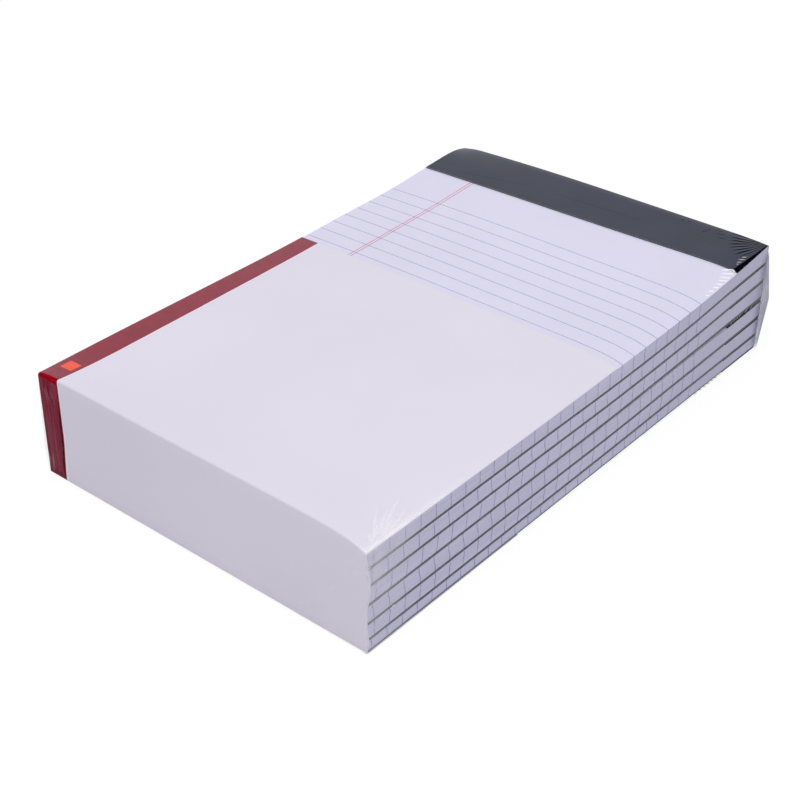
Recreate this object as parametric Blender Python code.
"""A shrink-wrapped pack of junior legal pads, in metres with +Z up.

The pads lie flat, one on the other, with their bound heads at +Y and their tails at -Y.
Each pad is a chipboard back, a block of ruled sheets and a binding tape folded round the head.
A printed sheet covers the top's tail half, folds down over the tails and tucks in under the pack.
A clear film is shrunk round it all. The origin is the centre of the pack's underside.

Taped heads are thicker than tails, so the pads fan out towards the head, and the film draws the
upper pads' long edges down. Both shapes are held as straight runs between a few stations.
"""

import math

import bmesh
import bpy
import numpy as np
from mathutils import Matrix

# Sheets and boards
sheet_width = 0.127
sheet_length = 0.2032
sheet_caliper = 0.0000908
sheets_per_pad = 50
pad_count = 6
board_thickness = 0.0007

# Ruling and margin on every sheet
rule_pitch = 0.00635
rule_width = 0.00025
header_height = 0.0421
least_tail_space = 0.002
margin_from_left = 0.0211
margin_line_width = 0.0003
margin_line_spacing = 0.0011

# Binding tape
tape_thickness = 0.00015
tape_leg = 0.0215
tape_bend = 0.0004

# Printed wrap
wrap_thickness = 0.00015
wrap_top_length = 0.1136
wrap_under_length = 0.067
wrap_bend = 0.0006
stripe_width = 0.008
mark_length = 0.0043
mark_width = 0.0048
mark_from_left = 0.0046
mark_from_tail = 0.0084

# Shrink film
film_thickness = 0.00015
film_bend = 0.0008
film_step_run = 0.006
vent_diameter = 0.002
vent_spacing = 0.06

# Pack shape
binding_swell = 0.00077
swell_power = 2.6
edge_drop = 0.0017
left_drop_power = 2.2
right_drop_power = 8.0

# Clearance between pieces that touch
seat_gap = 0.00025

# How finely the shape is drawn
bend_steps = 3
film_bend_steps = 3
vent_sides = 16
least_stretch = 0.000001
sharp_edge_degrees = 40
length_shares = (0.0, 0.25, 0.45, 0.6, 0.74)
width_shares = (-1.0, -0.85, -0.65, -0.4, 0.0, 0.6, 0.8, 0.92, 1.0)

# Colours, linear RGB
paper_colour = (0.71, 0.70, 0.80)
rule_colour = (0.30, 0.37, 0.58)
margin_colour = (0.72, 0.28, 0.33)
board_colour = (0.10, 0.095, 0.10)
tape_colour = (0.075, 0.085, 0.11)
wrap_colour = (0.74, 0.71, 0.79)
stripe_colour = (0.33, 0.045, 0.075)
mark_colour = (0.87, 0.17, 0.09)
film_colour = (0.95, 0.95, 0.97)

# Sizes that follow from the driving ones
half_width = sheet_width / 2
half_length = sheet_length / 2
block_thickness = sheets_per_pad * sheet_caliper
tail_pitch = board_thickness + block_thickness + 2 * seat_gap
tape_room = tape_thickness + seat_gap
wrap_room = wrap_thickness + seat_gap
film_room = film_thickness + seat_gap
stack_base = film_room + wrap_room
tape_edge = half_length - tape_leg
wrap_edge = -half_length + wrap_top_length


def swell(y):
    """How much of the head's extra thickness a pad has at y, from 0 at the tail to 1 at the head."""
    share = np.clip((y + half_length) / sheet_length, 0, 1)
    return share**swell_power


def drop(x):
    """How far the film draws the top of the stack down at x."""
    share = abs(x) / half_width
    power = left_drop_power if x < 0 else right_drop_power
    return edge_drop * share**power


length_stations = np.array(
    [-half_length + share * sheet_length for share in length_shares] + [tape_edge, half_length]
)
width_stations = np.array([share * half_width for share in width_shares])
swell_at_stations = swell(length_stations)
drop_at_stations = np.array([drop(x) for x in width_stations])


def level(x, y, pads_below):
    """The height at (x, y) of the seat between two pads, with that many pads below it."""
    pitch = tail_pitch + binding_swell * np.interp(y, length_stations, swell_at_stations)
    edge = np.interp(x, width_stations, drop_at_stations)
    return stack_base + pads_below * pitch - edge * pads_below / pad_count


def tape_lift(y):
    """How far a pad stands off its neighbour at y because of the tape between them."""
    ramp = np.minimum(swell_at_stations / swell(np.array(tape_edge)), 1)
    return tape_room * np.interp(y, length_stations, ramp)


def material(name, colour, roughness, alpha=1.0):
    """A Principled material with no metal in it."""
    made = bpy.data.materials.new(name)
    made.use_nodes = True
    shader = made.node_tree.nodes["Principled BSDF"]
    shader.inputs["Base Color"].default_value = (*colour, 1)
    shader.inputs["Roughness"].default_value = roughness
    shader.inputs["Metallic"].default_value = 0
    shader.inputs["Alpha"].default_value = alpha
    made.diffuse_color = (*colour, alpha)
    return made


def merged(*groups):
    """All the stations of several lists, in order, with none twice."""
    values = sorted(value for group in groups for value in group)
    kept = [values[0]]
    for value in values[1:]:
        if value - kept[-1] > least_stretch:
            kept.append(value)
    return kept


def plain(place, row, column):
    """Every face has the piece's first material."""
    return 0


def slab(name, outer, inner, materials, paint=plain):
    """One closed solid between two grids of points with the same rows and columns.

    Rows run along the sheet and columns across it, from left to right. paint(place, row, column)
    gives a face's material, where place is outer, inner, left, right, first or last.
    """
    rows = len(outer) - 1
    columns = len(outer[0]) - 1
    mesh = bmesh.new()
    top = [[mesh.verts.new(point) for point in row] for row in outer]
    bottom = [[mesh.verts.new(point) for point in row] for row in inner]

    def face(corners, place, row, column):
        mesh.faces.new(corners).material_index = paint(place, row, column)

    for r in range(rows):
        for c in range(columns):
            corners = ((r, c), (r, c + 1), (r + 1, c + 1), (r + 1, c))
            face([top[i][j] for i, j in corners], "outer", r, c)
            face([bottom[i][j] for i, j in reversed(corners)], "inner", r, c)
    for r in range(rows):
        face((top[r][0], top[r + 1][0], bottom[r + 1][0], bottom[r][0]), "left", r, 0)
        face((top[r + 1][-1], top[r][-1], bottom[r][-1], bottom[r + 1][-1]), "right", r, columns - 1)
    for c in range(columns):
        face((top[0][c + 1], top[0][c], bottom[0][c], bottom[0][c + 1]), "first", 0, c)
        face((top[-1][c], top[-1][c + 1], bottom[-1][c + 1], bottom[-1][c]), "last", rows - 1, c)
    data = bpy.data.meshes.new(name)
    mesh.to_mesh(data)
    mesh.free()
    made = bpy.data.objects.new(name, data)
    bpy.context.scene.collection.objects.link(made)
    for one in materials:
        data.materials.append(one)
    return made


def layer(name, bottom_height, top_height, along, across, materials, paint=plain):
    """A sheet or block over the pad's whole outline, between two height functions of (x, y)."""
    outer = [[(x, y, top_height(x, y)) for x in across] for y in along]
    inner = [[(x, y, bottom_height(x, y)) for x in across] for y in along]
    return slab(name, outer, inner, materials, paint)


def line_edges(centres, width):
    """The two edges of each printed line."""
    return [centre + side * width / 2 for centre in centres for side in (-1, 1)]


def rule_places():
    """Where the ruled lines lie along the sheet, from the header down to the tail."""
    first = half_length - header_height
    room = first + half_length - least_tail_space
    return [first - n * rule_pitch for n in range(int(room / rule_pitch) + 1)]


def margin_places():
    """Where the two margin lines lie across the sheet."""
    centre = -half_width + margin_from_left
    return [centre - margin_line_spacing / 2, centre + margin_line_spacing / 2]


def on_line(value, centres, width):
    """True if a place is inside one of the printed lines."""
    return any(abs(value - centre) < width / 2 for centre in centres)


def middles(stations):
    """The middle of each stretch between stations."""
    return [(low + high) / 2 for low, high in zip(stations[:-1], stations[1:])]


def board_bottom(x, y, n):
    """The height of the underside of board n, counted from 0 at the bottom."""
    return level(x, y, n) + tape_lift(y)


def block_top(x, y, n):
    """The height of the top sheet of block n."""
    return level(x, y, n + 1) - seat_gap - tape_lift(y)


def backing_board(n, look):
    """The chipboard back of one pad."""
    return layer(
        f"backing_board_{n + 1}",
        lambda x, y: board_bottom(x, y, n),
        lambda x, y: board_bottom(x, y, n) + board_thickness,
        length_stations,
        width_stations,
        [look],
    )


def sheet_block(n, looks):
    """The sheets of one pad, ruled on top and with the rules' ends showing at the sides."""
    rules = rule_places()
    margins = margin_places()
    along = merged(length_stations, line_edges(rules, rule_width))
    across = merged(width_stations, line_edges(margins, margin_line_width))
    row_ruled = [on_line(y, rules, rule_width) for y in middles(along)]
    column_lined = [on_line(x, margins, margin_line_width) for x in middles(across)]

    def paint(place, row, column):
        if place != "inner" and column_lined[column] and place not in ("left", "right"):
            return 2
        if place in ("outer", "left", "right") and row_ruled[row]:
            return 1
        return 0

    return layer(
        f"sheet_block_{n + 1}",
        lambda x, y: board_bottom(x, y, n) + board_thickness + seat_gap,
        lambda x, y: block_top(x, y, n),
        along,
        across,
        looks,
        paint,
    )


def bend(centre, radius, start, sweep, steps):
    """Points of an arc in the YZ plane, as (y, z), without its first point."""
    angles = [start + sweep * step / steps for step in range(1, steps + 1)]
    return [(centre[0] + radius * math.cos(a), centre[1] + radius * math.sin(a)) for a in angles]


def tape_line(n, x, inset):
    """One side of a folded tape at x, as (y, z) from its top edge round the head to its lower edge."""
    end = half_length + tape_room - inset
    turn = half_length + tape_room - tape_bend
    radius = tape_bend - inset
    high = level(x, half_length, n + 1) - seat_gap - inset
    low = level(x, half_length, n) + inset
    top = [(y, level(x, y, n + 1) - seat_gap - inset) for y in (tape_edge, turn)]
    upper_bend = bend((turn, high - radius), radius, math.pi / 2, -math.pi / 2, bend_steps)
    lower_bend = bend((turn, low + radius), radius, 0, -math.pi / 2, bend_steps)
    under = (tape_edge, level(x, tape_edge, n) + inset)
    return top + upper_bend + [(end, low + radius)] + lower_bend + [under]


def binding_tape(n, look):
    """The tape folded round the head of one pad, over the sheets and under the board."""
    lines = [[tape_line(n, x, inset) for x in width_stations] for inset in (0, tape_thickness)]
    grids = [
        [[(x, *line[k]) for x, line in zip(width_stations, side)] for k in range(len(side[0]))]
        for side in lines
    ]
    return slab(f"binding_tape_{n + 1}", grids[0], grids[1], [look])


def wrap_line(x, inset, along):
    """One side of the folded wrap at x, as (y, z) from under the pack, up the tails and over the top."""
    end = -half_length - wrap_room + inset
    radius = wrap_bend - inset
    turn = -half_length - wrap_room + wrap_bend
    low = film_room + inset
    high = level(x, -half_length, pad_count) + wrap_thickness - inset
    under = [(-half_length + wrap_under_length, low), (turn, low)]
    lower_bend = bend((turn, low + radius), radius, -math.pi / 2, -math.pi / 2, bend_steps)
    upper_bend = bend((turn, high - radius), radius, math.pi, -math.pi / 2, bend_steps)
    top = [(y, level(x, y, pad_count) + wrap_thickness - inset) for y in along]
    return under + lower_bend + [(end, high - radius)] + upper_bend + top


def printed_wrap(looks):
    """The printed sheet, with a coloured stripe down its left edge and a plain square mark on it."""
    stripe_edge = -half_width + stripe_width
    mark_x = -half_width + mark_from_left
    mark_y = -half_length + mark_from_tail
    mark_rows = line_edges([mark_y], mark_length)
    mark_columns = line_edges([mark_x], mark_width)
    along = merged([y for y in length_stations if -half_length < y < wrap_edge], mark_rows, [wrap_edge])
    across = merged(width_stations, mark_columns, [stripe_edge])
    lines = [[wrap_line(x, inset, along) for x in across] for inset in (0, wrap_thickness)]
    outer, inner = [
        [[(x, *line[k]) for x, line in zip(across, side)] for k in range(len(side[0]))] for side in lines
    ]
    in_stripe = [x < stripe_edge for x in middles(across)]
    in_mark_column = [on_line(x, [mark_x], mark_width) for x in middles(across)]
    in_mark_row = [on_line(y, [mark_y], mark_length) for y in middles(along)]
    first_top_row = len(outer) - len(along)

    def paint(place, row, column):
        if place != "outer" or not in_stripe[column]:
            return 0
        on_top = row >= first_top_row
        if on_top and in_mark_row[row - first_top_row] and in_mark_column[column]:
            return 2
        return 1

    return slab("printed_wrap", outer, inner, looks, paint)


def film_top(x, y):
    """The film's outer height: over the wrap, and a step lower past the wrap's edge."""
    step = np.interp(y, [wrap_edge, wrap_edge + film_step_run], [wrap_room, 0])
    return level(x, y, pad_count) - seat_gap + film_room + step


def vent_cutter():
    """Two small round cutters through the film at the head, half way up it."""
    mesh = bmesh.new()
    head = half_length + tape_room + film_room
    height = level(0, half_length, pad_count) / 2
    upright_to_level = Matrix.Rotation(math.pi / 2, 3, "X")
    for side in (-1, 1):
        made = bmesh.ops.create_cone(
            mesh,
            cap_ends=True,
            segments=vent_sides,
            radius1=vent_diameter / 2,
            radius2=vent_diameter / 2,
            depth=2 * (film_thickness + seat_gap),
        )
        bmesh.ops.rotate(mesh, verts=made["verts"], matrix=upright_to_level, cent=(0, 0, 0))
        place = (side * vent_spacing / 2, head, height)
        bmesh.ops.translate(mesh, verts=made["verts"], vec=place)
    data = bpy.data.meshes.new("vent_cutter")
    mesh.to_mesh(data)
    mesh.free()
    made = bpy.data.objects.new("vent_cutter", data)
    bpy.context.scene.collection.objects.link(made)
    made.display_type = "WIRE"
    made.hide_render = True
    return made


def shrink_film(look):
    """The clear film, as a thin bag with bent edges and two small vents."""
    side = half_width + film_room
    tail = -half_length - wrap_room - film_room
    head = half_length + tape_room + film_room
    along = merged([tail, wrap_edge, wrap_edge + film_step_run, head], length_stations[1:-1])
    across = merged([-side, side], width_stations[1:-1])
    made = layer("shrink_film", lambda x, y: 0.0, film_top, along, across, [look])
    rounding = made.modifiers.new("rounding", "BEVEL")
    rounding.width = film_bend
    rounding.segments = film_bend_steps
    rounding.limit_method = "ANGLE"
    rounding.angle_limit = math.radians(sharp_edge_degrees)
    wall = made.modifiers.new("wall", "SOLIDIFY")
    wall.thickness = film_thickness
    wall.offset = -1
    wall.use_even_offset = True
    vents = made.modifiers.new("vents", "BOOLEAN")
    vents.operation = "DIFFERENCE"
    vents.object = vent_cutter()
    return made


def build():
    """Clears the scene, then makes the pads from the bottom up, the wrap and the film."""
    for old in list(bpy.data.objects):
        bpy.data.objects.remove(old)
    paper = material("paper", paper_colour, 0.75)
    rule_ink = material("rule_ink", rule_colour, 0.75)
    margin_ink = material("margin_ink", margin_colour, 0.75)
    board = material("chipboard", board_colour, 0.9)
    tape = material("binding_tape", tape_colour, 0.55)
    wrap = material("wrap_paper", wrap_colour, 0.5)
    stripe = material("wrap_stripe", stripe_colour, 0.45)
    mark = material("wrap_mark", mark_colour, 0.45)
    film = material("film", film_colour, 0.08, alpha=0.15)
    for n in range(pad_count):
        backing_board(n, board)
        sheet_block(n, [paper, rule_ink, margin_ink])
        binding_tape(n, tape)
    printed_wrap([wrap, stripe, mark])
    shrink_film(film)


build()
